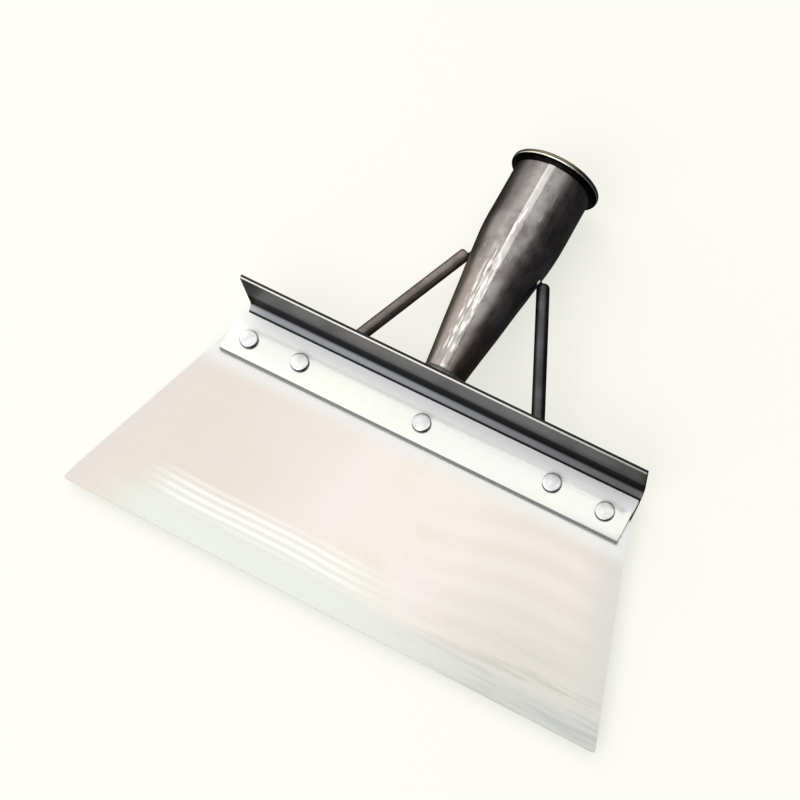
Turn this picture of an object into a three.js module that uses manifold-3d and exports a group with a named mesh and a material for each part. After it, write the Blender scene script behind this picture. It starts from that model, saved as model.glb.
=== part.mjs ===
// Floor scraper head: a wide stainless blade, clamped under a strip and riveted to a bent
// steel angle, with a tapered handle socket and two round braces welded to the angle's back.
//
// Millimetres, +Z up. The head lies on its back, blade face up, as it lies on a bench.
// Layout: x runs along the cutting edge, y runs from the cutting edge to the socket's mouth,
// and z is measured from the back of the blade. The whole group is then moved so that the
// origin is the middle of the bottom of its box.

import * as THREE from 'three';
import { mergeVertices } from 'three/addons/utils/BufferGeometryUtils.js';
import Module from 'manifold-3d';

const wasm = await Module();
wasm.setup();

// Blade
const EDGE_WIDTH = 210;
const BLADE_THICKNESS = 1.0;
const BLADE_TOP = 82.0;
const BLADE_TAPER = 0.324; // how far each side comes in per millimetre of height
const BLADE_CORNER_RADIUS = 1.6;
const GROUND_WIDTH = 8.0;
const GROUND_EDGE_THICKNESS = 0.25;

// Clamp strip
const CLAMP_LENGTH = 159.5;
const CLAMP_LOW = 67.8;
const CLAMP_HIGH = 84.9;
const CLAMP_THICKNESS = 2.0;

// Bent angle
const ANGLE_LEFT = -79.2;
const ANGLE_RIGHT = 80.0;
const ANGLE_LEG = 25;
const ANGLE_THICKNESS = 1.5;
const ANGLE_BEND_RADIUS = 5.5; // inside of the bend
// The flange was sheared by hand: higher on the left, and its left end leans out over the leg's end.
const FLANGE_TOP_LEFT = 24.8;
const FLANGE_TOP_RIGHT = 23.3;
const LEG_LEFT = -77.8;
const FLANGE_FRONT = 87.7;

// Rivets
// Where the rivets stand in x and y: set out by hand, so not quite even and not quite in a row.
const RIVETS = [[-71.4, 75.4], [-50.5, 75.9], [-0.5, 75.5], [50.3, 76.7], [71.1, 75.8]];
const RIVET_HEAD_RADIUS = 3.45;
const RIVET_HEAD_HEIGHT = 1.5;
const RIVET_SHANK_RADIUS = 2.3;
const RIVET_TAIL_RADIUS = 3.6;
const RIVET_TAIL_HEIGHT = 1.3;
const RIVET_HOLE_RADIUS = 2.6;

// Handle socket: a cone rolled into a cylinder, with its seam on top
const SOCKET_AXIS_HEIGHT = 13;
const SOCKET_LENGTH = 87.8;
const SOCKET_CONE_LENGTH = 59.9;
const SOCKET_BASE_RADIUS = 7.25;
const SOCKET_RADIUS = 15.0;
const SOCKET_WALL = 1.5;
const SOCKET_SIDES = 64;
const SHOULDER_SOFTNESS = 6; // length over which the cone turns into the cylinder
const SEAM_WIDTH = 3.0;
const SEAM_PROUD = 0.3;

// Mouth ring
const RING_RADIUS = 17.4;
const RING_THICKNESS = 2.1;

// Braces
const BRACE_RADIUS = 2.4;
// Both braces were placed by eye: where each meets the flange, and where its end meets the socket.
const LEFT_BRACE = { side: -1, footX: -34.6, headX: -15.3, headY: 136.7 };
const RIGHT_BRACE = { side: 1, footX: 38.3, headX: 15.6, headY: 137.6 };

// Welds
const WELD_GAP = 0.25;
const BASE_WELD_WIDTH = 2.2;
const BASE_WELD_LENGTH = 2.6;
const RING_WELD_SIZE = 1.2;
const BRACE_FOOT_WELD_RADIUS = 3.7;
const BRACE_HEAD_WELD_RADIUS = 2.4;

// Derived places
const FLANGE_BACK = FLANGE_FRONT + ANGLE_THICKNESS;
const CLAMP_TOP = BLADE_THICKNESS + CLAMP_THICKNESS;
const SOCKET_BASE = FLANGE_BACK;
const SOCKET_END = SOCKET_BASE + SOCKET_LENGTH;
const TOTAL_LENGTH = SOCKET_END + RING_THICKNESS;
const LOWEST = SOCKET_AXIS_HEIGHT - RING_RADIUS;

const STAINLESS = { color: 0xe9e6e4, roughness: 0.28, metalness: 0.9 };
const CLAMP_STEEL = { color: 0xf1f2f3, roughness: 0.35, metalness: 0.85 };
const RIVET_STEEL = { color: 0xcfd0d2, roughness: 0.4, metalness: 0.85 };
const ANGLE_STEEL = { color: 0x5f5d5c, roughness: 0.5, metalness: 0.8 };
const SOCKET_STEEL = { color: 0x5a5553, roughness: 0.42, metalness: 0.8 };
const BRACE_STEEL = { color: 0x4f4a48, roughness: 0.55, metalness: 0.75 };
const WELD_STEEL = { color: 0x8b8a83, roughness: 0.6, metalness: 0.7 };
const SEAM_STEEL = { color: 0xa3a09e, roughness: 0.45, metalness: 0.8 };

// --- Solids -------------------------------------------------------------------------------

// A closed three.js geometry as a solid that can be joined and cut.
function toSolid(geometry) {
  const bare = geometry.clone();
  bare.deleteAttribute('normal');
  bare.deleteAttribute('uv');
  const merged = mergeVertices(bare, 1e-5);
  const index = merged.index.array;
  const kept = [];
  for (let i = 0; i < index.length; i += 3) {
    const [a, b, c] = [index[i], index[i + 1], index[i + 2]];
    if (a !== b && b !== c && c !== a) kept.push(a, b, c);
  }
  const mesh = new wasm.Mesh({
    numProp: 3,
    vertProperties: new Float32Array(merged.attributes.position.array),
    triVerts: new Uint32Array(kept),
  });
  return new wasm.Manifold(mesh);
}

function toGeometry(solid) {
  const mesh = solid.getMesh();
  const geometry = new THREE.BufferGeometry();
  geometry.setAttribute('position', new THREE.BufferAttribute(new Float32Array(mesh.vertProperties), 3));
  geometry.setIndex(new THREE.BufferAttribute(new Uint32Array(mesh.triVerts), 1));
  return geometry;
}

function cut(body, ...tools) {
  return tools.reduce((rest, tool) => rest.subtract(tool), body);
}

function box(sizeX, sizeY, sizeZ, x, y, z) {
  return new THREE.BoxGeometry(sizeX, sizeY, sizeZ).translate(x, y, z);
}

// A flat outline drawn in x and y, raised along z from z = bottom.
function plate(shape, thickness, bottom) {
  return new THREE.ExtrudeGeometry(shape, { depth: thickness, bevelEnabled: false, curveSegments: 8 })
    .translate(0, 0, bottom);
}

// A section drawn in y and z, drawn out along x and centred on x = 0.
function section(shape, length) {
  const axes = new THREE.Matrix4().makeBasis(
    new THREE.Vector3(0, 1, 0),
    new THREE.Vector3(0, 0, 1),
    new THREE.Vector3(1, 0, 0),
  );
  return new THREE.ExtrudeGeometry(shape, { depth: length, bevelEnabled: false, curveSegments: 8 })
    .translate(0, 0, -length / 2)
    .applyMatrix4(axes);
}

// A closed ring or solid turned about the socket's axis; profile points are [radius, y from the base].
function turned(profile) {
  const points = profile.map(([radius, along]) => new THREE.Vector2(radius, along));
  return new THREE.LatheGeometry(points, SOCKET_SIDES).translate(0, SOCKET_BASE, SOCKET_AXIS_HEIGHT);
}

// A round bar between two points.
function bar(from, to, radius) {
  const run = new THREE.Vector3().subVectors(to, from);
  const turn = new THREE.Quaternion().setFromUnitVectors(new THREE.Vector3(0, 1, 0), run.clone().normalize());
  const middle = new THREE.Vector3().addVectors(from, to).multiplyScalar(0.5);
  return new THREE.CylinderGeometry(radius, radius, run.length(), 32)
    .applyQuaternion(turn)
    .translate(middle.x, middle.y, middle.z);
}

// --- Blade, clamp strip and angle ------------------------------------------------------------

function rivetHoles() {
  return RIVETS.map(([x, y]) => {
    const hole = new THREE.CylinderGeometry(RIVET_HOLE_RADIUS, RIVET_HOLE_RADIUS, 20, 32);
    return toSolid(hole.rotateX(Math.PI / 2).translate(x, y, 0));
  });
}

function bladeOutline() {
  const half = EDGE_WIDTH / 2;
  const topHalf = half - BLADE_TAPER * BLADE_TOP;
  const r = BLADE_CORNER_RADIUS;
  const shape = new THREE.Shape();
  shape.moveTo(-half + r, 0);
  shape.lineTo(half - r, 0);
  shape.quadraticCurveTo(half, 0, half - BLADE_TAPER * r, r);
  shape.lineTo(topHalf, BLADE_TOP);
  shape.lineTo(-topHalf, BLADE_TOP);
  shape.lineTo(-half + BLADE_TAPER * r, r);
  shape.quadraticCurveTo(-half, 0, -half + r, 0);
  return shape;
}

// The wedge that grinding takes off the face along the cutting edge.
function groundWedge() {
  const slope = (BLADE_THICKNESS - GROUND_EDGE_THICKNESS) / GROUND_WIDTH;
  const shape = new THREE.Shape();
  shape.moveTo(-1, GROUND_EDGE_THICKNESS - slope);
  shape.lineTo(GROUND_WIDTH, BLADE_THICKNESS);
  shape.lineTo(GROUND_WIDTH, BLADE_THICKNESS + 1);
  shape.lineTo(-1, BLADE_THICKNESS + 1);
  return section(shape, EDGE_WIDTH + 10);
}

function blade() {
  const sheet = toSolid(plate(bladeOutline(), BLADE_THICKNESS, 0));
  return toGeometry(cut(sheet, toSolid(groundWedge()), ...rivetHoles()));
}

function clampStrip() {
  const width = CLAMP_HIGH - CLAMP_LOW;
  const middle = (CLAMP_HIGH + CLAMP_LOW) / 2;
  const height = BLADE_THICKNESS + CLAMP_THICKNESS / 2;
  const strip = toSolid(box(CLAMP_LENGTH, width, CLAMP_THICKNESS, 0, middle, height));
  return toGeometry(cut(strip, ...rivetHoles()));
}

// The angle's section: the leg lies under the blade and the flange stands up behind it.
function angleSection() {
  const outer = ANGLE_BEND_RADIUS + ANGLE_THICKNESS;
  const bendY = FLANGE_FRONT - ANGLE_BEND_RADIUS;
  const legEdge = FLANGE_BACK - ANGLE_LEG;
  const shape = new THREE.Shape();
  shape.moveTo(legEdge, -ANGLE_THICKNESS);
  shape.lineTo(bendY, -ANGLE_THICKNESS);
  shape.absarc(bendY, ANGLE_BEND_RADIUS, outer, -Math.PI / 2, 0, false);
  shape.lineTo(FLANGE_BACK, FLANGE_TOP_LEFT + 1);
  shape.lineTo(FLANGE_FRONT, FLANGE_TOP_LEFT + 1);
  shape.lineTo(FLANGE_FRONT, ANGLE_BEND_RADIUS);
  shape.absarc(bendY, ANGLE_BEND_RADIUS, ANGLE_BEND_RADIUS, 0, -Math.PI / 2, true);
  shape.lineTo(legEdge, 0);
  return shape;
}

// The angle as the shear left it, seen from the front and drawn out through its whole depth.
function shearedFront() {
  const shape = new THREE.Shape();
  shape.moveTo(LEG_LEFT, -ANGLE_THICKNESS - 1);
  shape.lineTo(ANGLE_RIGHT, -ANGLE_THICKNESS - 1);
  shape.lineTo(ANGLE_RIGHT, FLANGE_TOP_RIGHT);
  shape.lineTo(ANGLE_LEFT, FLANGE_TOP_LEFT);
  shape.lineTo(LEG_LEFT, ANGLE_BEND_RADIUS);
  return new THREE.ExtrudeGeometry(shape, { depth: FLANGE_BACK, bevelEnabled: false })
    .rotateX(Math.PI / 2)
    .translate(0, FLANGE_BACK + 1, 0);
}

function angleBracket() {
  const bent = section(angleSection(), ANGLE_RIGHT - ANGLE_LEFT)
    .translate((ANGLE_RIGHT + ANGLE_LEFT) / 2, 0, 0);
  return toGeometry(cut(toSolid(bent).intersect(toSolid(shearedFront())), ...rivetHoles()));
}

// A rivet: flat head on the clamp strip, shank through the stack, and a low closed tail behind.
function rivet([x, y]) {
  const rim = 0.25;
  const points = [
    [0, -ANGLE_THICKNESS - RIVET_TAIL_HEIGHT],
    [RIVET_TAIL_RADIUS * 0.62, -ANGLE_THICKNESS - RIVET_TAIL_HEIGHT],
    [RIVET_TAIL_RADIUS, -ANGLE_THICKNESS - RIVET_TAIL_HEIGHT * 0.4],
    [RIVET_TAIL_RADIUS, -ANGLE_THICKNESS],
    [RIVET_SHANK_RADIUS, -ANGLE_THICKNESS],
    [RIVET_SHANK_RADIUS, CLAMP_TOP],
    [RIVET_HEAD_RADIUS, CLAMP_TOP],
    [RIVET_HEAD_RADIUS, CLAMP_TOP + RIVET_HEAD_HEIGHT - rim],
    [RIVET_HEAD_RADIUS - rim, CLAMP_TOP + RIVET_HEAD_HEIGHT],
    [0, CLAMP_TOP + RIVET_HEAD_HEIGHT],
  ].map(([radius, height]) => new THREE.Vector2(radius, height));
  return new THREE.LatheGeometry(points, 32).rotateX(Math.PI / 2).translate(x, y, 0);
}

// --- Handle socket -----------------------------------------------------------------------------

// Outside radius of the socket at a distance from its base: a cone, a soft shoulder, a cylinder.
function socketRadius(along) {
  const slope = (SOCKET_RADIUS - SOCKET_BASE_RADIUS) / SOCKET_CONE_LENGTH;
  const start = SOCKET_CONE_LENGTH - SHOULDER_SOFTNESS;
  const end = SOCKET_CONE_LENGTH + SHOULDER_SOFTNESS;
  if (along <= start) return SOCKET_BASE_RADIUS + slope * along;
  if (along >= end) return SOCKET_RADIUS;
  const left = end - along;
  return SOCKET_RADIUS - slope * left * left / (4 * SHOULDER_SOFTNESS);
}

// The wall between two offsets from the outside surface, as a closed turned ring.
function socketShell(outside, inside, from, to) {
  const start = SOCKET_CONE_LENGTH - SHOULDER_SOFTNESS;
  const steps = [from];
  for (let i = 0; i <= 8; i += 1) steps.push(start + 2 * SHOULDER_SOFTNESS * i / 8);
  steps.push(to);
  const outer = steps.map((along) => [socketRadius(along) + outside, along]);
  const inner = steps.map((along) => [socketRadius(along) - inside, along]).reverse();
  return toSolid(turned([...outer, ...inner, outer[0]]));
}

function seamSlot(width) {
  const size = SOCKET_RADIUS + 5;
  return toSolid(box(width, SOCKET_LENGTH + 10, size, 0, SOCKET_BASE + SOCKET_LENGTH / 2,
    SOCKET_AXIS_HEIGHT + size / 2));
}

function socket() {
  const tube = socketShell(0, SOCKET_WALL, 0, SOCKET_LENGTH);
  return toGeometry(cut(tube, seamSlot(SEAM_WIDTH)));
}

// The weld that closes the rolled seam, standing a little proud of the socket.
function seamWeld() {
  const from = BASE_WELD_LENGTH + 2 * WELD_GAP;
  const to = SOCKET_LENGTH - RING_WELD_SIZE - 2 * WELD_GAP;
  const strip = socketShell(SEAM_PROUD, SOCKET_WALL, from, to);
  return toGeometry(strip.intersect(seamSlot(SEAM_WIDTH - 0.3)));
}

function mouthRing() {
  const bore = SOCKET_RADIUS - SOCKET_WALL;
  const edge = 0.4;
  return turned([
    [RING_RADIUS, SOCKET_LENGTH],
    [RING_RADIUS, SOCKET_LENGTH + RING_THICKNESS - edge],
    [RING_RADIUS - edge, SOCKET_LENGTH + RING_THICKNESS],
    [bore + edge, SOCKET_LENGTH + RING_THICKNESS],
    [bore, SOCKET_LENGTH + RING_THICKNESS - edge],
    [bore, SOCKET_LENGTH],
    [RING_RADIUS, SOCKET_LENGTH],
  ]);
}

// The fillet weld in the corner between the socket and the mouth ring.
function ringWeld() {
  const inner = SOCKET_RADIUS + WELD_GAP;
  const top = SOCKET_LENGTH - 0.1;
  return turned([
    [inner, top - RING_WELD_SIZE],
    [inner + RING_WELD_SIZE * 0.45, top - RING_WELD_SIZE * 0.5],
    [inner + RING_WELD_SIZE, top],
    [inner, top],
    [inner, top - RING_WELD_SIZE],
  ]);
}

// The fillet weld around the socket's narrow end, on the back of the flange.
function baseWeld() {
  const inner = SOCKET_BASE_RADIUS + WELD_GAP;
  const tip = socketRadius(BASE_WELD_LENGTH) + WELD_GAP;
  return turned([
    [inner, 0.1],
    [inner + BASE_WELD_WIDTH, 0.1],
    [inner + BASE_WELD_WIDTH * 0.85, BASE_WELD_LENGTH * 0.4],
    [inner + BASE_WELD_WIDTH * 0.45, BASE_WELD_LENGTH * 0.8],
    [tip, BASE_WELD_LENGTH],
    [inner, 0.1],
  ]);
}

// --- Braces ------------------------------------------------------------------------------------

function braceLine({ footX, headX, headY }) {
  const foot = new THREE.Vector3(footX, FLANGE_BACK, SOCKET_AXIS_HEIGHT);
  const head = new THREE.Vector3(headX, headY, SOCKET_AXIS_HEIGHT);
  const run = new THREE.Vector3().subVectors(head, foot).normalize();
  return { foot, head, run };
}

// The socket filled solid and grown by a little, to cut back what is welded to its side.
function socketKeepOut(growth) {
  const steps = [];
  for (let i = 0; i <= 12; i += 1) steps.push(SOCKET_LENGTH * i / 12);
  const wall = steps.map((along) => [socketRadius(along) + growth, along]);
  return toSolid(turned([[0, 0], ...wall, [0, SOCKET_LENGTH]]));
}

function behindFlange(gap) {
  return toSolid(box(EDGE_WIDTH, 20, 60, 0, FLANGE_BACK + gap - 10, SOCKET_AXIS_HEIGHT));
}

function brace(placing) {
  const { foot, head, run } = braceLine(placing);
  const start = foot.clone().addScaledVector(run, -6);
  const rod = toSolid(bar(start, head, BRACE_RADIUS));
  return toGeometry(cut(rod, behindFlange(WELD_GAP), socketKeepOut(WELD_GAP)));
}

// The weld bead around a brace's foot, on the back of the flange.
function braceFootWeld(placing) {
  const { foot, head, run } = braceLine(placing);
  const rod = bar(foot.clone().addScaledVector(run, -10), head, BRACE_RADIUS + WELD_GAP);
  const bead = new THREE.SphereGeometry(BRACE_FOOT_WELD_RADIUS, 24, 16).translate(foot.x, foot.y, foot.z);
  return toGeometry(cut(toSolid(bead), toSolid(rod), behindFlange(0.1)));
}

// The weld bead in the notch between a brace's end and the side of the socket.
function braceHeadWeld(placing) {
  const { foot, head, run } = braceLine(placing);
  const rod = bar(foot, head.clone().addScaledVector(run, WELD_GAP), BRACE_RADIUS + WELD_GAP);
  const bead = new THREE.SphereGeometry(BRACE_HEAD_WELD_RADIUS, 24, 16)
    .translate(head.x - placing.side * 1.2, head.y + 0.8, head.z);
  return toGeometry(cut(toSolid(bead), toSolid(rod), socketKeepOut(WELD_GAP)));
}

// --- Assembly ------------------------------------------------------------------------------------

function part(name, geometry, finish) {
  const mesh = new THREE.Mesh(geometry, new THREE.MeshStandardMaterial(finish));
  mesh.name = name;
  return mesh;
}

const scraper = new THREE.Group();
scraper.name = 'floor_scraper_head';
scraper.add(part('blade', blade(), STAINLESS));
scraper.add(part('clamp_strip', clampStrip(), CLAMP_STEEL));
scraper.add(part('angle_bracket', angleBracket(), ANGLE_STEEL));
RIVETS.forEach((place, i) => scraper.add(part(`rivet_${i + 1}`, rivet(place), RIVET_STEEL)));
scraper.add(part('socket', socket(), SOCKET_STEEL));
scraper.add(part('seam_weld', seamWeld(), SEAM_STEEL));
scraper.add(part('mouth_ring', mouthRing(), SOCKET_STEEL));
scraper.add(part('mouth_ring_weld', ringWeld(), WELD_STEEL));
scraper.add(part('socket_base_weld', baseWeld(), WELD_STEEL));
for (const [label, placing] of [['left', LEFT_BRACE], ['right', RIGHT_BRACE]]) {
  scraper.add(part(`${label}_brace`, brace(placing), BRACE_STEEL));
  scraper.add(part(`${label}_brace_foot_weld`, braceFootWeld(placing), WELD_STEEL));
  scraper.add(part(`${label}_brace_head_weld`, braceHeadWeld(placing), WELD_STEEL));
}
scraper.position.set(0, -TOTAL_LENGTH / 2, -LOWEST);

export default scraper;
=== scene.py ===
"""Looks of a welded steel floor scraper head, built around its CAD frame."""

import logging
import math
from dataclasses import dataclass, field, replace
from enum import Enum
from typing import Callable, Iterable, Optional

import bmesh
import bpy
from mathutils import Matrix, Vector, noise


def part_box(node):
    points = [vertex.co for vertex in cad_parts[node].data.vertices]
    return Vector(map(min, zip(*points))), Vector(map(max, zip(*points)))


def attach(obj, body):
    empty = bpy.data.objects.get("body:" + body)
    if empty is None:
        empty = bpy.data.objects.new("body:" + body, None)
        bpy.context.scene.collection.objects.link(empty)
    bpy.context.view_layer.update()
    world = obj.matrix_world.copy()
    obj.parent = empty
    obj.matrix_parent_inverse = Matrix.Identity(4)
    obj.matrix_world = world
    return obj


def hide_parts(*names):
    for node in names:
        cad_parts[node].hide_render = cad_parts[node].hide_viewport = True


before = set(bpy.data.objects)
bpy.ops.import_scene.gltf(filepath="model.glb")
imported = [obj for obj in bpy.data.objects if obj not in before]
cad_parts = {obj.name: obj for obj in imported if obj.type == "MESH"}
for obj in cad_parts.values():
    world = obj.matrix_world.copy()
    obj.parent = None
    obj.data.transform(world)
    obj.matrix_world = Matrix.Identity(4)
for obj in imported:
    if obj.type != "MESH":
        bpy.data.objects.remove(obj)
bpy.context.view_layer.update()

log = logging.getLogger("floor_scraper")

MM = 0.001  # one millimetre in metres
HAIR = 0.00002  # two points closer than this are one
SHARP = math.radians(32)  # a corner sharper than this keeps its crease in the shading
BREAKABLE = math.radians(50)  # a corner sharper than this can have its sharpness taken off
RIGHT = (1.0, 0.0, 0.0)  # along the cutting edge
AHEAD = (0.0, 1.0, 0.0)  # from the cutting edge to the socket's mouth
UP = (0.0, 0.0, 1.0)  # out of the blade's face


# --- Small helpers ---------------------------------------------------------------------------


def linear(hex_colour: str) -> tuple[float, float, float, float]:
    """Turns an sRGB hex colour into linear light.

    Args:
        hex_colour: six hex digits after a #.

    Returns:
        Red, green, blue and an alpha of 1, in linear light.
    """
    channels = []
    for start in (1, 3, 5):
        value = int(hex_colour[start : start + 2], 16) / 255
        channels.append(value / 12.92 if value <= 0.04045 else ((value + 0.055) / 1.055) ** 2.4)
    return (channels[0], channels[1], channels[2], 1.0)


def add_node(
    tree: bpy.types.NodeTree,
    kind: str,
    settings: Optional[dict] = None,
    inputs: Optional[dict] = None,
) -> bpy.types.Node:
    """Adds one node with its settings and what goes into it.

    Args:
        tree: the node tree it is added to.
        kind: the node's type name.
        settings: the node's own properties, by name.
        inputs: for each input socket, by name or number, a value or the output socket to link.

    Returns:
        The new node.
    """
    node = tree.nodes.new(kind)
    for name, value in (settings or {}).items():
        setattr(node, name, value)
    for name, value in (inputs or {}).items():
        if isinstance(value, bpy.types.NodeSocket):
            tree.links.new(value, node.inputs[name])
        else:
            node.inputs[name].default_value = value
    return node


def corner_creases(bm: bmesh.types.BMesh) -> None:
    """Shades every face smooth and keeps a crease along each sharp corner."""
    for face in bm.faces:
        face.smooth = True
    for edge in bm.edges:
        edge.smooth = edge.is_manifold and edge.calc_face_angle(0.0) < SHARP


def finish_piece(
    bm: bmesh.types.BMesh,
    name: str,
    material: bpy.types.Material,
    node: str,
) -> bpy.types.Object:
    """Merges a shape's doubled corners, turns it right way out and puts it in place of its CAD node.

    Args:
        bm: the finished shape, in metres in the row frame. It is freed.
        name: the piece's name.
        material: what it is made of.
        node: the CAD node that it stands for.

    Returns:
        The new object.
    """
    bmesh.ops.remove_doubles(bm, verts=bm.verts[:], dist=HAIR / 10)
    bmesh.ops.recalc_face_normals(bm, faces=bm.faces[:])
    corner_creases(bm)
    mesh = bpy.data.meshes.new(name)
    bm.to_mesh(mesh)
    odd_edges = sum(1 for edge in bm.edges if not edge.is_manifold)
    bm.free()
    mesh.materials.append(material)
    piece = bpy.data.objects.new(name, mesh)
    bpy.context.scene.collection.objects.link(piece)
    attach(piece, "root")
    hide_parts(node)
    log.info("%s: %d faces, %d edges without exactly two faces", name, len(mesh.polygons), odd_edges)
    return piece


def ring_of(
    bm: bmesh.types.BMesh, points: Iterable[Vector]
) -> tuple[list[bmesh.types.BMVert], list[bmesh.types.BMEdge]]:
    """Joins points into one closed outline.

    Args:
        bm: the shape the outline is added to.
        points: the outline's corners in order.

    Returns:
        The outline's vertices and edges.
    """
    verts = [bm.verts.new(point) for point in points]
    edges = [bm.edges.new((verts[i - 1], verts[i])) for i in range(len(verts))]
    return verts, edges


def holed_plate(
    outline: list[Vector], holes: list[Vector], hole_radius: float, thickness: float
) -> bmesh.types.BMesh:
    """Makes a flat plate with round holes through it.

    Args:
        outline: the plate's corners at its lower face.
        holes: the holes' centres at the same height.
        hole_radius: the radius of each hole.
        thickness: how far the plate is raised.

    Returns:
        The closed plate.
    """
    bm = bmesh.new()
    ring_of(bm, outline)
    for centre in holes:
        bmesh.ops.create_circle(
            bm, cap_ends=False, radius=hole_radius, segments=32, matrix=Matrix.Translation(centre)
        )
    bmesh.ops.triangle_fill(bm, use_beauty=True, edges=bm.edges[:], normal=(0, 0, 1))
    raised = bmesh.ops.extrude_face_region(bm, geom=bm.faces[:])
    top = [item for item in raised["geom"] if isinstance(item, bmesh.types.BMVert)]
    bmesh.ops.translate(bm, verts=top, vec=(0, 0, thickness))
    bmesh.ops.recalc_face_normals(bm, faces=bm.faces[:])
    return bm


def break_edges(
    bm: bmesh.types.BMesh,
    width: float,
    segments: int,
    chosen: Callable[[bmesh.types.BMEdge], bool],
) -> None:
    """Takes the sharpness off some of a shape's corners.

    Args:
        bm: the shape.
        width: how far the corner is taken back.
        segments: how many facets the new corner has.
        chosen: says which of the sharp edges are worked.
    """
    edges = [
        edge
        for edge in bm.edges
        if edge.is_manifold and edge.calc_face_angle(0.0) > BREAKABLE and chosen(edge)
    ]
    bmesh.ops.bevel(
        bm,
        geom=edges,
        offset=width,
        offset_type="OFFSET",
        segments=segments,
        profile=0.5,
        affect="EDGES",
        material=-1,
        clamp_overlap=True,
    )


def middle(edge: bmesh.types.BMEdge) -> Vector:
    """The middle of an edge."""
    return (edge.verts[0].co + edge.verts[1].co) / 2


# --- Finishes --------------------------------------------------------------------------------

# How much a pattern's scale shrinks along the grain, which draws it out into lines.
GRAIN_DRAW = 0.03
STREAK_DRAW = 0.06
SCRATCH_DRAW = 0.08
SCRATCH_PATCH_MM = 14  # scratches come in patches about this wide
WAVE_REPEAT = math.tau / 20  # a wave texture of scale 1 repeats over this length
PLAIN_GLOSS = 0.5  # the shader's own specular level


class Along(Enum):
    """The way a rolled or rubbed grain runs: along the cutting edge or along the socket."""

    EDGE = (1, 0, 0)
    SOCKET = (0, 1, 0)

    def drawn_out(self, share: float) -> tuple[float, ...]:
        """The scale that draws a pattern out along the grain to 1 / share of its width."""
        return tuple(share if along else 1.0 for along in self.value)


@dataclass(frozen=True)
class Zone:
    """A part of a surface with its own tone and soft borders.

    The tone stands for wear, dirt or grinding, or for the light and shade that lie there, matched
    from in front.

    Each border is a direction, and where along it the tone starts to show and where it shows fully;
    a direction of None is the distance from the axis that runs along the socket. A dull zone also
    loses its shine.
    """

    tone: str
    share: float
    borders: tuple[tuple[Optional[tuple[float, float, float]], float, float], ...]
    axis_height: float = 0.0
    streak_mm: float = 0.0
    streak_along: Along = Along.EDGE
    ripple_mm: float = 0.0  # from one rolling line to the next, along the cutting edge
    waver: float = 2.0
    dull: bool = False

    def cover(
        self, tree: bpy.types.NodeTree, where: bpy.types.NodeSocket
    ) -> bpy.types.NodeSocket | float:
        """Works out how strongly the zone shows at each place.

        Args:
            tree: the material's nodes.
            where: the place on the piece, in metres.

        Returns:
            The zone's share, from 0 to 1.
        """
        fades = []
        for direction, start, full in self.borders:
            if direction is None:
                flat = add_node(tree, "ShaderNodeMapping", inputs={"Vector": where, "Scale": (1.0, 0.0, 1.0)})
                how_far = add_node(
                    tree,
                    "ShaderNodeVectorMath",
                    {"operation": "DISTANCE"},
                    {0: flat.outputs["Vector"], 1: (0.0, 0.0, self.axis_height)},
                )
            else:
                how_far = add_node(
                    tree, "ShaderNodeVectorMath", {"operation": "DOT_PRODUCT"}, {0: where, 1: direction}
                )
            fade = add_node(
                tree,
                "ShaderNodeMapRange",
                {"interpolation_type": "SMOOTHSTEP"},
                {"Value": how_far.outputs["Value"], "From Min": start, "From Max": full},
            )
            fades.append(fade.outputs["Result"])
        if self.streak_mm:
            drawn = add_node(
                tree,
                "ShaderNodeMapping",
                inputs={"Vector": where, "Scale": self.streak_along.drawn_out(STREAK_DRAW)},
            )
            lines = add_node(
                tree,
                "ShaderNodeTexNoise",
                inputs={
                    "Vector": drawn.outputs["Vector"],
                    "Scale": 1 / (self.streak_mm * MM),
                    "Detail": 3.0,
                    "Distortion": 0.25,
                },
            )
            streaks = add_node(
                tree,
                "ShaderNodeMapRange",
                inputs={"Value": lines.outputs["Fac"], "From Min": 0.47, "From Max": 0.66},
            )
            fades.append(streaks.outputs["Result"])
        if self.ripple_mm:
            ripples = add_node(
                tree,
                "ShaderNodeTexWave",
                {"wave_type": "BANDS", "bands_direction": "Y"},
                {
                    "Vector": where,
                    "Scale": WAVE_REPEAT / (self.ripple_mm * MM),
                    "Distortion": self.waver,
                    "Detail": 1.0,
                    "Detail Scale": 0.2,
                },
            )
            fades.append(ripples.outputs["Fac"])
        share: bpy.types.NodeSocket | float = self.share
        for fade in fades:
            share = add_node(
                tree, "ShaderNodeMath", {"operation": "MULTIPLY"}, {0: fade, 1: share}
            ).outputs["Value"]
        return share


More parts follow.
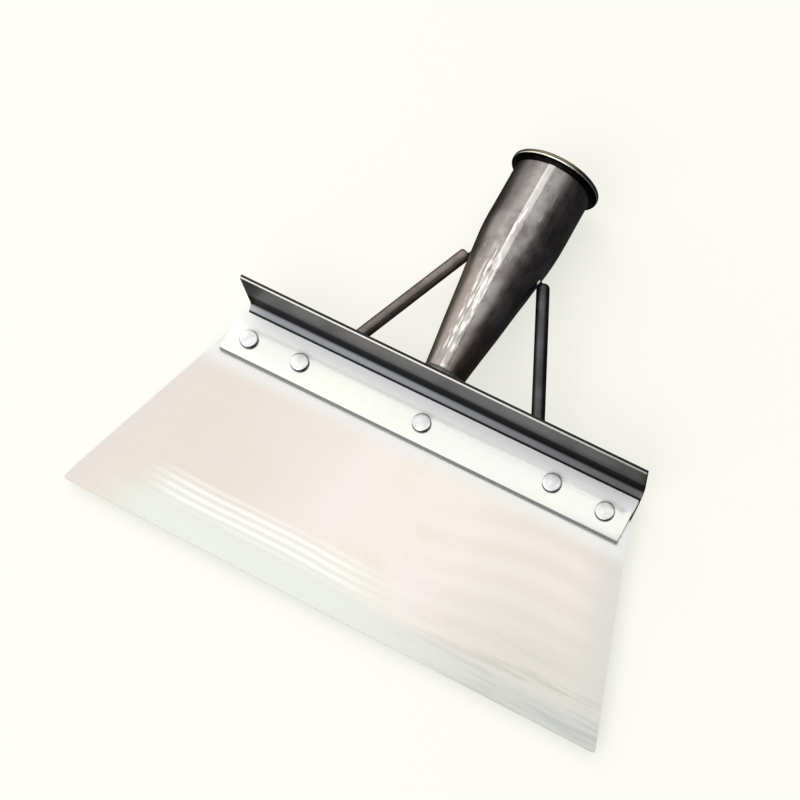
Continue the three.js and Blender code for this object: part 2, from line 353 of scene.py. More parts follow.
@dataclass(frozen=True)
class SteelFinish:
    """A bare steel surface: two clouded tones, a fine grain along one way, scratches, and zones of wear and
    of painted light and shade.
    """

    name: str
    tone: str
    second_tone: str
    cloud_mm: float
    roughness: float
    grain_mm: float
    grain_depth_mm: float
    grain_along: Along = Along.EDGE
    grain_tone: float = 0.0
    scratch_tone: str = "#ffffff"
    scratch_share: float = 0.0
    scratch_mm: float = 1.2
    pit_depth_mm: float = 0.0
    pit_mm: float = 0.6
    metallic: float = 1.0
    zones: tuple[Zone, ...] = ()

    def clouds(self, tree: bpy.types.NodeTree, where: bpy.types.NodeSocket) -> bpy.types.NodeSocket:
        """Mixes the two tones in soft patches.

        Args:
            tree: the material's nodes.
            where: the place on the piece, in metres.

        Returns:
            The clouded colour.
        """
        patches = add_node(
            tree,
            "ShaderNodeTexNoise",
            inputs={"Vector": where, "Scale": 1 / (self.cloud_mm * MM), "Detail": 4.0, "Roughness": 0.6},
        )
        share = add_node(
            tree,
            "ShaderNodeMapRange",
            {"interpolation_type": "SMOOTHSTEP"},
            {"Value": patches.outputs["Fac"], "From Min": 0.34, "From Max": 0.66},
        )
        mixed = add_node(
            tree,
            "ShaderNodeMix",
            {"data_type": "RGBA"},
            {0: share.outputs["Result"], 6: linear(self.tone), 7: linear(self.second_tone)},
        )
        return mixed.outputs[2]

    def grain(self, tree: bpy.types.NodeTree, where: bpy.types.NodeSocket) -> bpy.types.NodeSocket:
        """Draws long fine lines along the grain.

        Args:
            tree: the material's nodes.
            where: the place on the piece, in metres.

        Returns:
            The lines' height, from 0 to 1.
        """
        turned = add_node(
            tree,
            "ShaderNodeMapping",
            inputs={"Vector": where, "Scale": self.grain_along.drawn_out(GRAIN_DRAW)},
        )
        lines = add_node(
            tree,
            "ShaderNodeTexNoise",
            inputs={
                "Vector": turned.outputs["Vector"],
                "Scale": 1 / (self.grain_mm * MM),
                "Detail": 3.0,
                "Roughness": 0.65,
            },
        )
        return lines.outputs["Fac"]

    def scratches(self, tree: bpy.types.NodeTree, where: bpy.types.NodeSocket) -> bpy.types.NodeSocket:
        """Scatters short bright scratches, in patches, along the grain.

        Args:
            tree: the material's nodes.
            where: the place on the piece, in metres.

        Returns:
            How much of a scratch there is, from 0 to 1.
        """
        turned = add_node(
            tree,
            "ShaderNodeMapping",
            inputs={"Vector": where, "Scale": self.grain_along.drawn_out(SCRATCH_DRAW)},
        )
        marks = add_node(
            tree,
            "ShaderNodeTexNoise",
            inputs={
                "Vector": turned.outputs["Vector"],
                "Scale": 1 / (self.scratch_mm * MM),
                "Detail": 2.0,
                "Distortion": 0.2,
            },
        )
        patches = add_node(
            tree,
            "ShaderNodeTexNoise",
            inputs={"Vector": where, "Scale": 1 / (SCRATCH_PATCH_MM * MM), "Detail": 2.0},
        )
        patchy = add_node(
            tree,
            "ShaderNodeMapRange",
            inputs={"Value": patches.outputs["Fac"], "From Min": 0.42, "From Max": 0.62},
        )
        cut = 0.5 + 0.2 * (1 - self.scratch_share)
        sharp = add_node(
            tree,
            "ShaderNodeMapRange",
            inputs={"Value": marks.outputs["Fac"], "From Min": cut, "From Max": cut + 0.07},
        )
        share = add_node(
            tree,
            "ShaderNodeMath",
            {"operation": "MULTIPLY"},
            {0: sharp.outputs["Result"], 1: patchy.outputs["Result"]},
        )
        return share.outputs["Value"]

    def make(self) -> bpy.types.Material:
        """Builds the material.

        Returns:
            The finished material.
        """
        material = bpy.data.materials.new(self.name)
        material.use_nodes = True
        tree = material.node_tree
        tree.nodes.clear()
        where = add_node(tree, "ShaderNodeTexCoord").outputs["Object"]
        colour = self.clouds(tree, where)
        lines = self.grain(tree, where)
        if self.grain_tone:
            streak = add_node(
                tree,
                "ShaderNodeMapRange",
                inputs={
                    "Value": lines,
                    "From Min": 0.3,
                    "From Max": 0.7,
                    "To Min": 1 - self.grain_tone,
                    "To Max": 1 + self.grain_tone,
                },
            )
            colour = add_node(
                tree,
                "ShaderNodeMix",
                {"data_type": "RGBA", "blend_type": "MULTIPLY"},
                {0: 1.0, 6: colour, 7: streak.outputs["Result"]},
            ).outputs[2]
        shine: bpy.types.NodeSocket | float = 1.0
        for zone in self.zones:
            share = zone.cover(tree, where)
            colour = add_node(
                tree, "ShaderNodeMix", {"data_type": "RGBA"}, {0: share, 6: colour, 7: linear(zone.tone)}
            ).outputs[2]
            if zone.dull:
                left = add_node(tree, "ShaderNodeMath", {"operation": "SUBTRACT"}, {0: 1.0, 1: share})
                shine = add_node(
                    tree, "ShaderNodeMath", {"operation": "MULTIPLY"}, {0: shine, 1: left.outputs["Value"]}
                ).outputs["Value"]
        rough = add_node(
            tree,
            "ShaderNodeMapRange",
            inputs={
                "Value": lines,
                "From Min": 0.3,
                "From Max": 0.7,
                "To Min": self.roughness * 0.8,
                "To Max": self.roughness * 1.2,
            },
        ).outputs["Result"]
        if self.scratch_share:
            marks = self.scratches(tree, where)
            colour = add_node(
                tree,
                "ShaderNodeMix",
                {"data_type": "RGBA"},
                {0: marks, 6: colour, 7: linear(self.scratch_tone)},
            ).outputs[2]
        relief = add_node(
            tree,
            "ShaderNodeBump",
            inputs={"Height": lines, "Distance": self.grain_depth_mm * MM, "Strength": 1.0},
        )
        if self.pit_depth_mm:
            pits = add_node(
                tree,
                "ShaderNodeTexNoise",
                inputs={"Vector": where, "Scale": 1 / (self.pit_mm * MM), "Detail": 5.0, "Roughness": 0.6},
            )
            relief = add_node(
                tree,
                "ShaderNodeBump",
                inputs={
                    "Height": pits.outputs["Fac"],
                    "Distance": self.pit_depth_mm * MM,
                    "Strength": 1.0,
                    "Normal": relief.outputs["Normal"],
                },
            )
        metallic: bpy.types.NodeSocket | float = self.metallic
        gloss: bpy.types.NodeSocket | float = PLAIN_GLOSS
        if isinstance(shine, bpy.types.NodeSocket):
            metallic, gloss = (
                add_node(
                    tree, "ShaderNodeMath", {"operation": "MULTIPLY"}, {0: shine, 1: whole}
                ).outputs["Value"]
                for whole in (self.metallic, PLAIN_GLOSS)
            )
        shader = add_node(
            tree,
            "ShaderNodeBsdfPrincipled",
            inputs={
                "Base Color": colour,
                "Metallic": metallic,
                "Specular IOR Level": gloss,
                "Roughness": rough,
                "Normal": relief.outputs["Normal"],
            },
        )
        add_node(tree, "ShaderNodeOutputMaterial", inputs={"Surface": shader.outputs["BSDF"]})
        return material


# Stainless sheet, cold rolled and polished: a bright mirror dulled by fine rolling lines, which
# takes a faint warm cast in soft patches.
BLADE_SHEET = SteelFinish(
    name="polished_stainless_sheet",
    tone="#e1d8d6",
    second_tone="#dcd5cc",
    cloud_mm=38,
    roughness=0.28,
    grain_mm=1.3,
    grain_depth_mm=0.0003,
    grain_tone=0.004,
)

# Stainless strip, brushed along its length: brighter and whiter than the blade, with long faint
# grey lines.
CLAMP_STRIP = SteelFinish(
    name="brushed_stainless_strip",
    tone="#e5e6df",
    second_tone="#e1e2df",
    cloud_mm=26,
    roughness=0.22,
    grain_mm=1.1,
    grain_depth_mm=0.002,
    grain_tone=0.015,
)

# Zinc-plated steel, pressed when the rivet was closed: a soft grey shine with scuffs.
RIVET_HEADS = SteelFinish(
    name="zinc_plated_rivet",
    tone="#eceeee",
    second_tone="#d6d8d8",
    cloud_mm=2.6,
    roughness=0.36,
    grain_mm=0.7,
    grain_depth_mm=0.01,
    grain_tone=0.05,
    pit_depth_mm=0.02,
    pit_mm=0.9,
)

# Cold-rolled sheet, bent and wiped with oil: even dark grey with a faint rolled grain.
DARK_SHEET = SteelFinish(
    name="oiled_bent_steel_sheet",
    tone="#575658",
    second_tone="#4e4c4d",
    cloud_mm=22,
    roughness=0.42,
    grain_mm=1.2,
    grain_depth_mm=0.01,
    grain_tone=0.10,
    pit_depth_mm=0.006,
    metallic=0.6,
)

# Sheet rolled into a tube: dark brownish grey with rubbed patches and scratches along it.
ROLLED_TUBE = SteelFinish(
    name="dark_rolled_steel_tube",
    tone="#a19d9b",
    second_tone="#777171",
    cloud_mm=9,
    roughness=0.36,
    grain_mm=1.0,
    grain_depth_mm=0.012,
    grain_along=Along.SOCKET,
    grain_tone=0.07,
    scratch_tone="#bdbab7",
    scratch_share=0.25,
    scratch_mm=0.7,
    pit_depth_mm=0.012,
)

# Weld ground back along the tube's seam: lighter bare steel with bright file marks.
GROUND_SEAM = SteelFinish(
    name="ground_weld_seam",
    tone="#cfcdca",
    second_tone="#aeaba9",
    cloud_mm=9,
    roughness=0.40,
    grain_mm=0.8,
    grain_depth_mm=0.02,
    grain_along=Along.SOCKET,
    grain_tone=0.08,
    scratch_tone="#fbfaf8",
    scratch_share=0.75,
    scratch_mm=1.0,
)

# Turned ring of the same steel, painted near black for the shade on its underside.
RING_STEEL = SteelFinish(
    name="shade_black_steel_ring",
    tone="#141211",
    second_tone="#0d0c0b",
    cloud_mm=5,
    roughness=0.38,
    grain_mm=0.8,
    grain_depth_mm=0.01,
    pit_depth_mm=0.02,
)

# Hot-rolled round bar: brown-black mill scale, duller than the rolled sheet.
ROUND_BAR = SteelFinish(
    name="mill_scale_round_bar",
    tone="#837c77",
    second_tone="#6a6460",
    cloud_mm=8,
    roughness=0.44,
    grain_mm=1.0,
    grain_depth_mm=0.012,
    grain_along=Along.SOCKET,
    grain_tone=0.06,
    pit_depth_mm=0.015,
)

# The same bar, painted darker for the shade on the right brace: nearly black, with a cold grey sheen.
SHADED_BAR = SteelFinish(
    name="shaded_round_bar",
    tone="#57585c",
    second_tone="#444344",
    cloud_mm=9,
    roughness=0.40,
    grain_mm=1.0,
    grain_depth_mm=0.012,
    grain_along=Along.SOCKET,
    grain_tone=0.06,
    pit_depth_mm=0.015,
)

# Weld metal as it froze: rippled, grey with a straw tint, brighter where it was brushed.
WELD_BEAD = SteelFinish(
    name="brushed_weld_bead",
    tone="#c9c7bf",
    second_tone="#918e86",
    cloud_mm=3,
    roughness=0.42,
    grain_mm=0.6,
    grain_depth_mm=0.02,
    pit_depth_mm=0.05,
    pit_mm=1.1,
)

# The bead under the ring, never brushed: painted black for the shade under the ring.
SHADE_BLACK_BEAD = replace(WELD_BEAD, name="shade_black_weld_bead", tone="#1b1918", second_tone="#0f0e0d")


# --- Blade, clamp strip, angle and rivets ------------------------------------------------------


@dataclass
class Stack:
    """The riveted stack: the blade under its clamp strip, on the bent angle."""

    hole_radius: float = 2.6 * MM
    taper: float = 0.324  # how far each side of the blade comes in for its height
    half_edge: float = 105.0 * MM  # half the cutting edge, to where its corners would be unrounded
    corner_radius: float = 1.6 * MM
    ground_width: float = 8.0 * MM
    ground_edge: float = 0.25 * MM
    sheet: float = 1.5 * MM
    bend_radius: float = 5.5 * MM
    flange_drop: float = 1.5 * MM  # how much lower the flange is at its right end
    left_trim: float = 1.4 * MM
    head_radius: float = 3.45 * MM
    shank_radius: float = 2.3 * MM
    rivets: list[str] = field(default_factory=lambda: [f"rivet_{i}" for i in range(1, 6)])
    stands: list[tuple[float, float]] = field(init=False)

    def __post_init__(self) -> None:
        """Finds where each rivet stands."""
        boxes = [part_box(name) for name in self.rivets]
        self.stands = [((low.x + high.x) / 2, (low.y + high.y) / 2) for low, high in boxes]

    def centres(self, height: float) -> list[Vector]:
        """The rivets' axes at a height."""
        return [Vector((x, y, height)) for x, y in self.stands]

    def clear_of_holes(self, edge: bmesh.types.BMEdge) -> bool:
        """Says whether an edge belongs to the outline and not to a rivet hole."""
        place = middle(edge)
        return all((place - centre).xy.length > self.hole_radius * 1.2 for centre in self.centres(place.z))

    def blade(self) -> bpy.types.Object:
        """Cuts the blade, rounds its two lower corners and grinds its edge.

        Returns:
            The blade.
        """
        low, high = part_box("blade")
        start = Vector((self.half_edge - self.corner_radius, low.y, low.z))
        sharp = Vector((self.half_edge, low.y, low.z))
        end = sharp + Vector((-self.taper, 1, 0)) * self.corner_radius
        right = []
        for step in range(9):
            share = step / 8
            right.append(start.lerp(sharp, share).lerp(sharp.lerp(end, share), share))
        right.append(sharp + Vector((-self.taper, 1, 0)) * (high.y - low.y))
        left = [Vector((-point.x, point.y, point.z)) for point in reversed(right)]
        bm = holed_plate(right + left, self.centres(low.z), self.hole_radius, high.z - low.z)
        ground_line = low.y + self.ground_width
        bmesh.ops.bisect_plane(
            bm,
            geom=bm.verts[:] + bm.edges[:] + bm.faces[:],
            dist=HAIR / 10,
            plane_co=(0, ground_line, 0),
            plane_no=(0, 1, 0),
        )
        fall = (high.z - low.z - self.ground_edge) / self.ground_width
        for vert in bm.verts:
            if vert.co.z > high.z - HAIR and vert.co.y < ground_line - HAIR:
                vert.co.z = high.z - fall * (ground_line - vert.co.y)
        side = Vector((1, self.taper, 0)).normalized()
        flank = sharp.dot(side)
        across = tuple(side)
        back = (-side.x, side.y, 0.0)
        # Painted reflections and shade: darker ends and sides, a grey band below the clamp strip, greenish
        # patches and ground edge; also rolling lines and pale and dark streaks.
        clamp_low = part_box("clamp_strip")[0].y
        zones = (
            Zone("#cfc7be", 0.85, ((RIGHT, 15 * MM, -75 * MM),)),
            Zone("#d0c8c1", 0.65, ((RIGHT, 5 * MM, 75 * MM),)),
            Zone("#f2eee8", 0.16, ((RIGHT, -40 * MM, 60 * MM),), ripple_mm=9.0, waver=22.0),
            Zone("#c6c5bc", 0.65, ((RIGHT, 20 * MM, 75 * MM), (AHEAD, low.y + 46 * MM, low.y + 16 * MM))),
            Zone("#c6c6c2", 0.8, ((across, flank - 16 * MM, flank - 2 * MM),)),
            Zone("#cfc8c6", 0.8, ((back, flank - 12 * MM, flank - 1 * MM),)),
            Zone("#d8dadb", 0.8, ((AHEAD, clamp_low - 8 * MM, clamp_low - 2 * MM),)),
            Zone("#d2d5ce", 0.9, ((AHEAD, low.y + 12 * MM, low.y + 6 * MM), (RIGHT, -98 * MM, -72 * MM))),
            Zone("#bdbfbc", 0.85, ((AHEAD, low.y + 12 * MM, low.y + 6 * MM), (RIGHT, 10 * MM, 90 * MM))),
            Zone(
                "#d3d8d2",
                0.7,
                (
                    (AHEAD, low.y + 24 * MM, low.y + 13 * MM),
                    (RIGHT, -88 * MM, -66 * MM),
                    (RIGHT, 40 * MM, -10 * MM),
                ),
            ),
            Zone(
                "#f3f5f1",
                0.5,
                (
                    (AHEAD, low.y + 9 * MM, low.y + 12 * MM),
                    (AHEAD, low.y + 24 * MM, low.y + 18 * MM),
                    (RIGHT, -82 * MM, -62 * MM),
                    (RIGHT, 30 * MM, -15 * MM),
                ),
                ripple_mm=2.8,
                waver=3.0,
            ),
            Zone(
                "#a9aca8",
                0.6,
                ((AHEAD, low.y + 26 * MM, low.y + 7 * MM), (RIGHT, 10 * MM, 90 * MM)),
                streak_mm=1.6,
            ),
        )
        sheet = replace(BLADE_SHEET, zones=zones).make()
        return finish_piece(bm, "scraper_blade", sheet, "blade")

    def clamp(self) -> bpy.types.Object:
        """Cuts the clamp strip and breaks its edges.

        Returns:
            The clamp strip.
        """
        low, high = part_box("clamp_strip")
        outline = [
            Vector((low.x, low.y, low.z)),
            Vector((high.x, low.y, low.z)),
            Vector((high.x, high.y, low.z)),
            Vector((low.x, high.y, low.z)),
        ]
        bm = holed_plate(outline, self.centres(low.z), self.hole_radius, high.z - low.z)
        break_edges(bm, 0.3 * MM, 2, lambda edge: self.clear_of_holes(edge) and middle(edge).z > low.z + HAIR)
        # Painted light: a white dull band along the upper edge, where the bright strip would mirror the dark
        # flange. Painted shade: a grey line along the lower edge.
        painted_light_band = Zone("#ffffff", 1.0, ((AHEAD, high.y - 8 * MM, high.y - 4 * MM),), dull=True)
        painted_shade_line = Zone("#6c6c6e", 0.9, ((AHEAD, low.y + 0.45 * MM, low.y + 0.20 * MM),), dull=True)
        strip = replace(CLAMP_STRIP, zones=(painted_light_band, painted_shade_line)).make()
        return finish_piece(bm, "clamp_bar", strip, "clamp_strip")

    def angle(self) -> bpy.types.Object:
        """Bends the angle: a drilled leg, a round bend and the upright flange.

        Returns:
            The angle bracket.
        """
        low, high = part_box("angle_bracket")
        bend_y = high.y - self.sheet - self.bend_radius
        outline = [
            Vector((low.x + self.left_trim, low.y, low.z)),
            Vector((high.x, low.y, low.z)),
            Vector((high.x, bend_y, low.z)),
            Vector((low.x + self.left_trim, bend_y, low.z)),
        ]
        bm = holed_plate(outline, self.centres(low.z), self.hole_radius, self.sheet)
        end = [face for face in bm.faces if abs(face.calc_center_median().y - bend_y) < HAIR]
        around = [item for face in end for item in list(face.verts) + list(face.edges)]
        centre = Vector((0, bend_y, low.z + self.sheet + self.bend_radius))
        bent = bmesh.ops.spin(
            bm,
            geom=end + list(dict.fromkeys(around)),
            cent=centre,
            axis=(1, 0, 0),
            angle=math.pi / 2,
            steps=12,
            use_duplicate=False,
        )
        last = [item for item in bent["geom_last"] if isinstance(item, bmesh.types.BMFace)]
        raised = bmesh.ops.extrude_face_region(bm, geom=last)
        top = [item for item in raised["geom"] if isinstance(item, bmesh.types.BMVert)]
        bmesh.ops.translate(bm, verts=top, vec=(0, 0, high.z - centre.z))
        for vert in top:
            if vert.co.x < 0:
                vert.co.x = low.x
            else:
                vert.co.z -= self.flange_drop
        bmesh.ops.recalc_face_normals(bm, faces=bm.faces[:])
        break_edges(bm, 0.18 * MM, 2, self.clear_of_holes)
        tilt = (self.flange_drop / (high.x - low.x), 0.0, 1.0)
        crest = high.z + tilt[0] * low.x
        floor = low.z + self.sheet
        # Painted highlight: a pale band along the bend.
        painted_highlight_band = Zone(
            "#ced1d5",
            1.0,
            ((UP, floor + 6.0 * MM, floor + 3.4 * MM), (RIGHT, 190 * MM, -70 * MM)),
        )
        # Painted shade: the flange darker towards its right end.
        painted_shade_right_end = Zone("#343333", 0.9, ((RIGHT, 20 * MM, 95 * MM), (UP, floor + 4 * MM, floor + 9 * MM)))
        # Painted shade: near black and dull in the crease above the bend.
        painted_shade = Zone(
            "#0c0b0b",
            0.92,
            ((UP, floor + 3.1 * MM, floor + 5.4 * MM), (UP, floor + 13.8 * MM, floor + 10.6 * MM)),
            dull=True,
        )
        oxide = Zone(
            "#161515",
            0.95,
            ((tilt, crest - 0.35 * MM, crest - 0.15 * MM), (AHEAD, high.y - 1.10 * MM, high.y - 0.95 * MM)),
        )
        sheared = Zone(
            "#dcdad6",
            1.0,
            (
                (tilt, crest - 0.30 * MM, crest - 0.12 * MM),
                (AHEAD, high.y - 0.90 * MM, high.y - 1.05 * MM),
                (RIGHT, 150 * MM, 10 * MM),
            ),
        )
        # Painted shadow: black along the foot of the bend, where it meets the clamp strip.
        painted_gap_shadow = Zone("#0c0b0b", 0.95, ((UP, floor + 1.9 * MM, floor + 1.4 * MM),), dull=True)
        zones = (painted_highlight_band, painted_shade_right_end, painted_shade, painted_gap_shadow, oxide, sheared)
        steel = replace(DARK_SHEET, zones=zones).make()
        return finish_piece(bm, "bent_angle", steel, "angle_bracket")

    def rivet(self, node: str, steel: bpy.types.Material) -> bpy.types.Object:
        """Turns one rivet and rounds its head and its tail.

        Args:
            node: the CAD rivet it stands for.
            steel: its finish.

        Returns:
            The rivet.
        """
        low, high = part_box(node)
        axis = Vector(((low.x + high.x) / 2, (low.y + high.y) / 2, 0))
        clamp_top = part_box("clamp_strip")[1].z
        angle_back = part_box("angle_bracket")[0].z
        tail = (high.x - low.x) / 2
        profile = [
            (0.0, low.z),
            (tail * 0.55, low.z),
            (tail, low.z + 0.7 * MM),
            (tail, angle_back),
            (self.shank_radius, angle_back),
            (self.shank_radius, clamp_top),
            (self.head_radius, clamp_top),
            (self.head_radius, high.z - 0.12 * MM),
            (self.head_radius * 0.8, high.z),
            (0.0, high.z - 0.06 * MM),
        ]
        bm = bmesh.new()
        verts = [bm.verts.new(axis + Vector((radius, 0, height))) for radius, height in profile]
        edges = [bm.edges.new(pair) for pair in zip(verts, verts[1:])]
        bmesh.ops.spin(
            bm, geom=verts + edges, cent=axis, axis=(0, 0, 1), angle=math.tau, steps=48, use_merge=True
        )
        bmesh.ops.remove_doubles(bm, verts=bm.verts[:], dist=HAIR / 4)
        bmesh.ops.recalc_face_normals(bm, faces=bm.faces[:])
        break_edges(bm, 0.28 * MM, 3, lambda edge: middle(edge).z > clamp_top + 0.4 * MM)
        return finish_piece(bm, node + "_turned", steel, node)

    def build(self) -> None:
        """Builds the blade, the clamp strip, the angle and the rivets."""
        self.blade()
        self.clamp()
        self.angle()
        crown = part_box(self.rivets[0])[1].z
        clamp_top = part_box("clamp_strip")[1].z
        # Painted shade: dark on the side of each head, down to the clamp strip.
        painted_shade = Zone(
            "#171616",
            1.0,
            ((UP, clamp_top - 0.3 * MM, clamp_top - 0.2 * MM), (UP, crown - 0.12 * MM, crown - 0.30 * MM)),
        )
        steel = replace(RIVET_HEADS, zones=(painted_shade,)).make()
        for node in self.rivets:
            self.rivet(node, steel)


# --- Handle socket and braces --------------------------------------------------------------------


@dataclass
class HandleSocket:
    """The rolled socket with its seam, mouth ring, two braces and the welds that hold them."""

    base_radius: float = 7.25 * MM
    radius: float = 15.0 * MM
    cone: float = 59.9 * MM
    shoulder: float = 6.0 * MM
    wall: float = 1.5 * MM
    seam: float = 1.5 * MM  # half the width of the seam's slot
    gap: float = 0.25 * MM  # between the welds or braces and the socket
    stand_off: float = 0.1 * MM  # between the welds and the flange or the ring
    bar_radius: float = 2.4 * MM
    stations: int = 72
    base: Vector = field(default_factory=lambda: Vector((0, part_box("socket")[0].y, 0)))
    length: float = field(default_factory=lambda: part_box("socket")[1].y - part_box("socket")[0].y)
    weld: bpy.types.Material = field(init=False)

    def __post_init__(self) -> None:
        """Finds the socket's axis from the mouth ring."""
        low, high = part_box("mouth_ring")
        self.base.z = (low.z + high.z) / 2

    def outside(self, along: float) -> float:
        """The socket's outside radius: a cone, a soft shoulder, then a cylinder.

        Args:
            along: the distance from the socket's narrow end.

        Returns:
            The radius there.
        """
        slope = (self.radius - self.base_radius) / self.cone
        if along <= self.cone - self.shoulder:
            return self.base_radius + slope * along
        if along >= self.cone + self.shoulder:
            return self.radius
        left = self.cone + self.shoulder - along
        return self.radius - slope * left * left / (4 * self.shoulder)

    def rolled(self, place: Vector) -> float:
        """How far rolling left the wall out of true at a place."""
        return 0.10 * MM * noise.noise(place / (13 * MM)) + 0.04 * MM * noise.noise(place / (4 * MM))

    def out_of_true(self, bm: bmesh.types.BMesh) -> None:
        """Moves a turned shape's vertices in and out as rolling left them."""
        for vert in bm.verts:
            away = Vector((vert.co.x, 0, vert.co.z - self.base.z))
            if away.length > HAIR:
                vert.co += away.normalized() * self.rolled(vert.co)

    def tube(self) -> bpy.types.Object:
        """Rolls the socket from sheet and leaves the slot for its seam.

        Returns:
            The socket.
        """
        bm = bmesh.new()
        places = [self.length * i / self.stations for i in range(self.stations + 1)]
        outer = [self.base + Vector((0, along, self.outside(along))) for along in places]
        inner = [
            self.base + Vector((0, along, self.outside(along) - self.wall)) for along in reversed(places)
        ]
        verts, edges = ring_of(bm, outer + inner)
        half_slot = math.asin(self.seam / self.radius)
        bmesh.ops.rotate(bm, verts=verts, cent=self.base, matrix=Matrix.Rotation(half_slot, 3, "Y"))
        spun = bmesh.ops.spin(
            bm,
            geom=verts + edges,
            cent=self.base,
            axis=(0, 1, 0),
            angle=math.tau - 2 * half_slot,
            steps=128,
        )
        last = [item for item in spun["geom_last"] if isinstance(item, bmesh.types.BMVert)]
        for loop, side in ((verts, 1), (last, -1)):
            for vert in loop:
                reach = math.hypot(vert.co.x, vert.co.z - self.base.z)
                vert.co.x = side * self.seam
                vert.co.z = self.base.z + math.sqrt(reach * reach - self.seam * self.seam)
        rims = [edge for edge in bm.edges if edge.is_boundary]
        bmesh.ops.holes_fill(bm, edges=rims, sides=0)
        self.out_of_true(bm)
        foot = self.base.y
        # Painted light and shade: lighter left of the seam, darker there near the mouth, dark brown along the
        # left side and brownish right of the seam near the narrow end. Also bright streaks by the seam.
        zones = (
            Zone("#6f6c6b", 0.7, ((RIGHT, -1 * MM, -6 * MM), (AHEAD, foot + 48 * MM, foot + 72 * MM))),
            Zone("#aba39c", 0.7, ((RIGHT, -1 * MM, -5 * MM), (AHEAD, foot + 62 * MM, foot + 30 * MM))),
            Zone("#3a2d2c", 0.75, ((RIGHT, -10 * MM, -14.6 * MM),)),
            Zone("#6b564d", 0.6, ((AHEAD, foot + 34 * MM, foot + 4 * MM), (RIGHT, -1 * MM, 4 * MM))),
            Zone(
                "#f6f4f1",
                0.95,
                (
                    (AHEAD, foot + 56 * MM, foot + 44 * MM),
                    (AHEAD, foot + 3 * MM, foot + 8 * MM),
                    (RIGHT, -5.2 * MM, -3.2 * MM),
                    (RIGHT, 2.0 * MM, 0.5 * MM),
                ),
                streak_mm=0.9,
                streak_along=Along.SOCKET,
            ),
        )
        steel = replace(ROLLED_TUBE, zones=zones).make()
        return finish_piece(bm, "rolled_socket", steel, "socket")

    def seam_bead(self) -> bpy.types.Object:
        """Lays the ground weld that closes the seam.

        Returns:
            The seam.
        """
        half = self.seam
        end = self.length - self.stand_off
        bm = bmesh.new()
        bmesh.ops.create_grid(bm, x_segments=10, y_segments=260, size=0.5)
        for vert in bm.verts:
            across = vert.co.x * 2 * half
            along = self.stand_off + (vert.co.y + 0.5) * (end - self.stand_off)
            reach = self.outside(along)
            crown = (0.22 + 0.07 * noise.noise(Vector((0, along / (1.7 * MM), 0)))) * MM
            height = math.sqrt(reach * reach - across * across) + crown * (1 - (across / half) ** 4)
            vert.co = self.base + Vector((across, along, height))
        self.out_of_true(bm)
        lowered = bmesh.ops.extrude_face_region(bm, geom=bm.faces[:])
        under = [item for item in lowered["geom"] if isinstance(item, bmesh.types.BMVert)]
        bmesh.ops.translate(bm, verts=under, vec=(0, 0, -self.wall))
        foot = self.base.y
        filed = Zone(
            "#fbfaf8",
            0.9,
            ((AHEAD, foot + 60 * MM, foot + 40 * MM),),
            streak_mm=0.8,
            streak_along=Along.SOCKET,
        )
        dulled = Zone("#8f8b89", 0.5, ((AHEAD, foot + 45 * MM, foot + 20 * MM),))
        steel = replace(GROUND_SEAM, zones=(dulled, filed)).make()
        return finish_piece(bm, "seam_bead", steel, "seam_weld")

    def turned(self, profile: list[tuple[float, float]], steps: int) -> bmesh.types.BMesh:
        """Turns a closed profile about the socket's axis.

        Args:
            profile: radius and distance from the socket's narrow end, for each corner.
            steps: how many facets go round.

        Returns:
            The turned ring.
        """
        bm = bmesh.new()
        points = [self.base + Vector((0, along, radius)) for radius, along in profile]
        verts, edges = ring_of(bm, points)
        bmesh.ops.spin(
            bm,
            geom=verts + edges,
            cent=self.base,
            axis=AHEAD,
            angle=math.tau,
            steps=steps,
            use_merge=True,
        )
        bmesh.ops.recalc_face_normals(bm, faces=bm.faces[:])
        return bm

    def mouth(self) -> bpy.types.Object:
        """Turns the mouth ring and rolls its edges over.

        Returns:
            The mouth ring.
        """
        low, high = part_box("mouth_ring")
        reach = (high.x - low.x) / 2
        start = low.y - self.base.y
        end = high.y - self.base.y
        bore = self.radius - self.wall
        bm = self.turned([(bore, start), (reach, start), (reach, end), (bore, end)], 128)
        break_edges(bm, 0.7 * MM, 4, lambda edge: True)
        # Painted reflection: an olive-brown band round the outer face. Painted highlight: a white line round
        # the outer face beside it.
        zones = (
            Zone(
                "#8c8069",
                0.9,
                ((None, reach - 0.6 * MM, reach - 0.2 * MM), (AHEAD, low.y + 0.9 * MM, low.y + 1.1 * MM)),
                axis_height=self.base.z,
            ),
            Zone(
                "#f4f1ea",
                1.0,
                (
                    (None, reach - 0.45 * MM, reach - 0.20 * MM),
                    (AHEAD, low.y + 0.20 * MM, low.y + 0.35 * MM),
                    (AHEAD, low.y + 0.80 * MM, low.y + 0.60 * MM),
                ),
                axis_height=self.base.z,
            ),
        )
        steel = replace(RING_STEEL, zones=zones).make()
        return finish_piece(bm, "turned_mouth_ring", steel, "mouth_ring")

    def fillet(
        self, name: str, node: str, profile: list[tuple[float, float]], ripple: float, bead: SteelFinish
    ) -> bpy.types.Object:
        """Lays a rippled fillet weld around the socket.

        Args:
            name: the bead's name.
            node: the CAD weld it stands for.
            profile: the bead's section, as radius and distance along the socket.
            ripple: how uneven the bead is.
            bead: the bead's finish.

        Returns:
            The bead.
        """
        bm = self.turned(profile, 160)
        for vert in bm.verts:
            away = Vector((vert.co.x, 0, vert.co.z - self.base.z))
            turn = math.atan2(away.x, away.z)
            lump = noise.noise(vert.co / (2.2 * MM)) + 0.3 * math.sin(turn * 34 + 2 * math.sin(turn * 5))
            proud = away.length - min(radius for radius, _ in profile)
            if proud > 0.1 * MM:
                vert.co += away.normalized() * ripple * lump * min(1.0, proud / MM)
        return finish_piece(bm, name, bead.make(), node)

